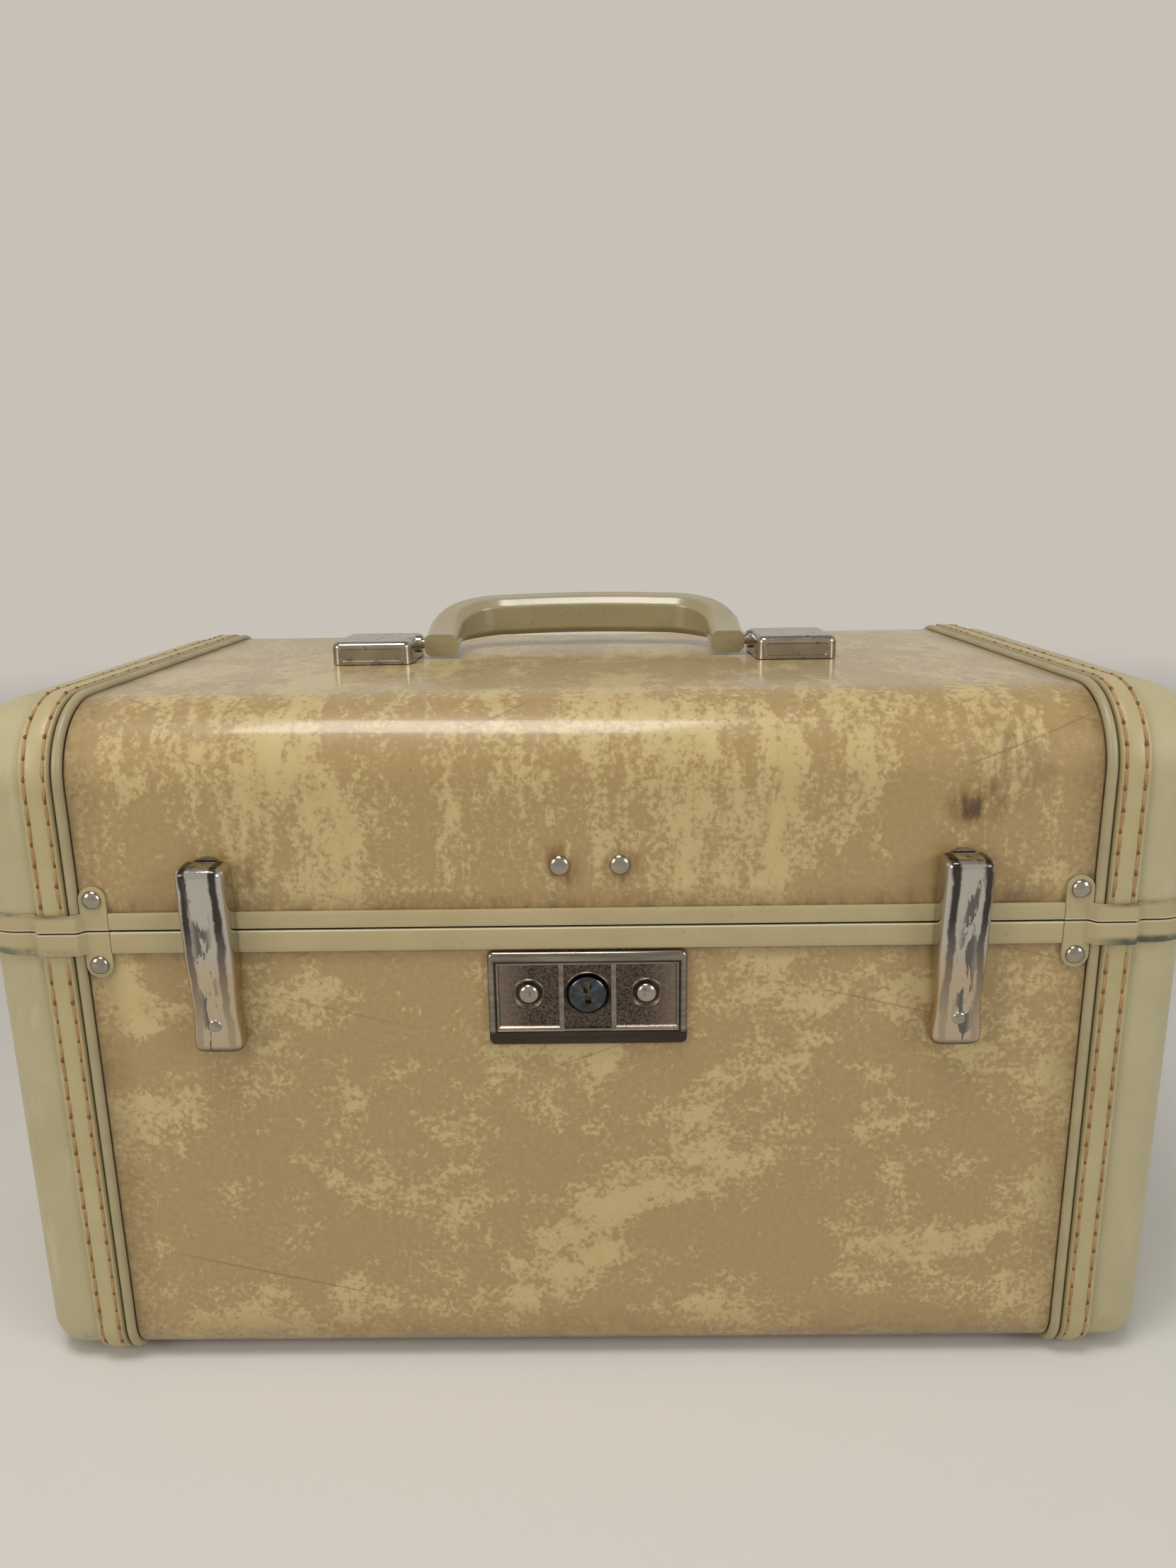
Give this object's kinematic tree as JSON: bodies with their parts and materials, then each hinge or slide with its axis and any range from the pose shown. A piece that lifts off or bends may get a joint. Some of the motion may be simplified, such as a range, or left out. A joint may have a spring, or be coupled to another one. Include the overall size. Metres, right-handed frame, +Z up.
{
  "type": "cosmetic case",
  "caption": "Hard-sided cosmetic case: rounded box with hinged lid, end bindings, draw latches, key lock, folding handle and lid mirror.",
  "frame": {"origin": "middle of the footprint, on the floor under the bindings", "axes": "+Z up, -Y out of the front with the latches and lock, +X to the right seen from the front"},
  "size_m": [0.3662, 0.217, 0.242],
  "materials": {
    "coated_cloth": "coated woven cloth, semi-gloss, worn",
    "leatherette": "grained imitation leather, satin",
    "piping": "rolled bead, satin",
    "painted_steel": "painted, satin, worn",
    "plywood": "raw, matt",
    "lining_cloth": "matt cloth",
    "nickel": "nickel plated, worn",
    "zinc": "galvanised, dull",
    "moulded_plastic": "moulded, semi-gloss",
    "mirror_glass": "silvered"
  },
  "bodies": {
    "base": {"base_box": "plywood", "base_cover": "coated_cloth", "base_lining": "lining_cloth", "base_end_cover_left": "leatherette", "base_end_cover_right": "leatherette", "base_binding_left": "leatherette", "base_binding_right": "leatherette", "base_piping_left": "piping", "base_piping_right": "piping", "base_rim": "zinc", "base_strip_front": "painted_steel", "base_strip_back": "painted_steel", "base_strap_left": "painted_steel", "base_strap_right": "painted_steel", "base_ear_rivet_left": "nickel", "base_ear_rivet_right": "nickel", "base_hinge_leaf_left": "nickel", "base_hinge_leaf_right": "nickel", "hinge_pin_left": "nickel", "hinge_pin_right": "nickel", "lock_plate": "nickel", "lock_case": "zinc", "lock_rivet_left": "nickel", "lock_rivet_right": "nickel", "latch_plate_left": "nickel", "latch_plate_right": "nickel"},
    "lid": {"lid_box": "plywood", "lid_cover": "coated_cloth", "lid_lining": "lining_cloth", "lid_end_cover_left": "leatherette", "lid_end_cover_right": "leatherette", "lid_binding_left": "leatherette", "lid_binding_right": "leatherette", "lid_piping_left": "piping", "lid_piping_right": "piping", "lid_rim": "zinc", "lid_strip_front": "painted_steel", "lid_strip_back": "painted_steel", "lid_strap_left": "painted_steel", "lid_strap_right": "painted_steel", "lid_ear_rivet_left": "nickel", "lid_ear_rivet_right": "nickel", "lid_hinge_leaf_left": "nickel", "lid_hinge_leaf_right": "nickel", "lid_hasp": "zinc", "lid_stud_left": "nickel", "lid_stud_right": "nickel", "strike_left": "nickel", "strike_right": "nickel", "handle_box_left": "nickel", "handle_box_right": "nickel", "mirror": "mirror_glass", "mirror_frame": "nickel"},
    "handle": {"handle": "moulded_plastic"},
    "latch_left_link": {"latch_link_left": "nickel"},
    "latch_left_lever": {"latch_lever_left": "nickel"},
    "latch_right_link": {"latch_link_right": "nickel"},
    "latch_right_lever": {"latch_lever_right": "nickel"},
    "lock_plug": {"lock_plug": "nickel"},
    "lock_bolt": {"lock_bolt": "zinc"}
  },
  "joints": [
    {"name": "lid_hinge", "type": "hinge", "parent": "base", "child": "lid", "pos_m": [0, 0.1041, 0.154], "axis": [-1, 0, 0], "range_deg": [0, 100]},
    {"name": "handle_fold", "type": "hinge", "parent": "lid", "child": "handle", "pos_m": [0, 0.0005, 0.2271], "axis": [1, 0, 0], "range_deg": [0, 160]},
    {"name": "latch_left_link_swing", "type": "hinge", "parent": "base", "child": "latch_left_link", "pos_m": [-0.111, -0.1039, 0.151], "axis": [-1, 0, 0], "range_deg": [0, 60]},
    {"name": "latch_left_lever_swing", "type": "hinge", "parent": "latch_left_link", "child": "latch_left_lever", "pos_m": [-0.111, -0.1039, 0.126], "axis": [1, 0, 0], "range_deg": [0, 36]},
    {"name": "latch_right_link_swing", "type": "hinge", "parent": "base", "child": "latch_right_link", "pos_m": [0.111, -0.1039, 0.151], "axis": [-1, 0, 0], "range_deg": [0, 60]},
    {"name": "latch_right_lever_swing", "type": "hinge", "parent": "latch_right_link", "child": "latch_right_lever", "pos_m": [0.111, -0.1039, 0.126], "axis": [1, 0, 0], "range_deg": [0, 36]},
    {"name": "lock_plug_turn", "type": "hinge", "parent": "base", "child": "lock_plug", "pos_m": [0.0006, -0.1, 0.1325], "axis": [0, 1, 0], "range_deg": [0, 90]},
    {"name": "lock_bolt_slide", "type": "slide", "parent": "base", "child": "lock_bolt", "axis": [1, 0, 0], "range_m": [0, 0.00424]}
  ],
  "couplings": [
    {"joint": "latch_left_lever_swing", "follows": "latch_left_link_swing", "ratio": 0.6},
    {"joint": "latch_right_lever_swing", "follows": "latch_right_link_swing", "ratio": 0.6},
    {"joint": "lock_plug_turn", "follows": "lock_bolt_slide", "rad_per_m": 370.24}
  ]
}
